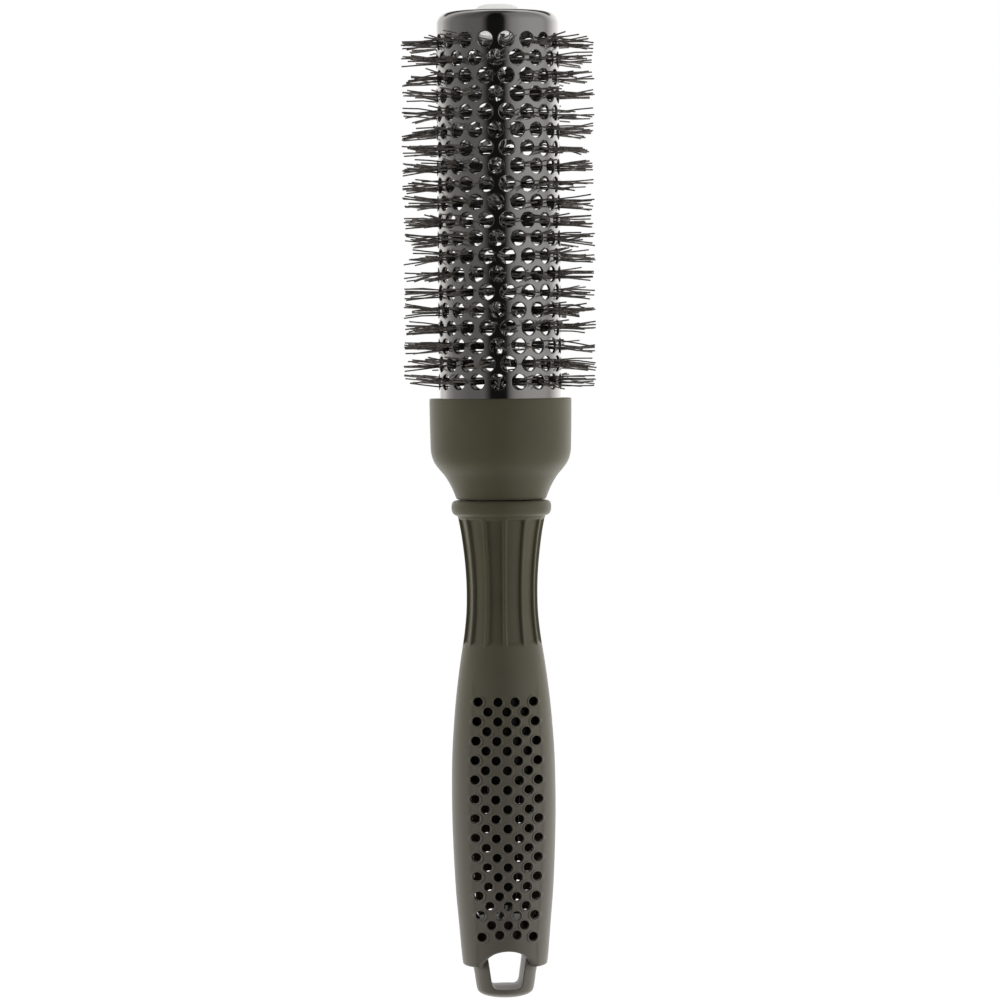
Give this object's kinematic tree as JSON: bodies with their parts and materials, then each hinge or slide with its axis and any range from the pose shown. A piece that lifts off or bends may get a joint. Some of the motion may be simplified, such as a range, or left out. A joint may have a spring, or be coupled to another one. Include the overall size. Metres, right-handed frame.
{
  "type": "round barrel brush",
  "caption": "Round styling brush: vented metal barrel with rows of nylon bristles on a twisted wire stem, and a perforated handle with a hang loop that draws out a sectioning pick.",
  "frame": {"origin": "centre of the bounding box at the bottom of the hang loop, on the barrel's axis", "axes": "+Z along the handle towards the barrel's tip, -Y the front, with one face of the hang slot and one panel of vents, +X to the right seen from the front"},
  "size_m": [0.0506, 0.0506, 0.2579],
  "materials": {
    "gunmetal_tube": "bright dipped gunmetal",
    "cap_plastic": "satin moulded",
    "stem_steel": "bright drawn wire",
    "bristle_nylon": "drawn filament",
    "soft_touch_cup": "soft-touch coated",
    "soft_touch_grip": "soft-touch coated",
    "core_plastic": "moulded",
    "loop_plastic": "soft-touch coated",
    "pick_steel": "polished"
  },
  "bodies": {
    "brush": {"barrel": "gunmetal_tube", "end_cap": "cap_plastic", "stem_wire_a": "stem_steel", "stem_wire_b": "stem_steel", "bristle_row_01": "bristle_nylon", "bristle_row_02": "bristle_nylon", "bristle_row_03": "bristle_nylon", "bristle_row_04": "bristle_nylon", "bristle_row_05": "bristle_nylon", "bristle_row_06": "bristle_nylon", "bristle_row_07": "bristle_nylon", "bristle_row_08": "bristle_nylon", "bristle_row_09": "bristle_nylon", "bristle_row_10": "bristle_nylon", "bristle_row_11": "bristle_nylon", "bristle_row_12": "bristle_nylon", "bristle_row_13": "bristle_nylon", "bristle_row_14": "bristle_nylon", "bristle_row_15": "bristle_nylon", "bristle_row_16": "bristle_nylon", "bristle_row_17": "bristle_nylon", "bristle_row_18": "bristle_nylon", "bristle_row_19": "bristle_nylon", "bristle_row_20": "bristle_nylon", "barrel_cup": "soft_touch_cup", "neck_core": "core_plastic", "grip_shell": "soft_touch_grip"},
    "pick": {"hang_loop": "loop_plastic", "sectioning_pick": "pick_steel"}
  },
  "joints": [
    {"name": "pick_slide", "type": "slide", "parent": "brush", "child": "pick", "axis": [0, 0, -1], "range_m": [0, 0.075]}
  ]
}
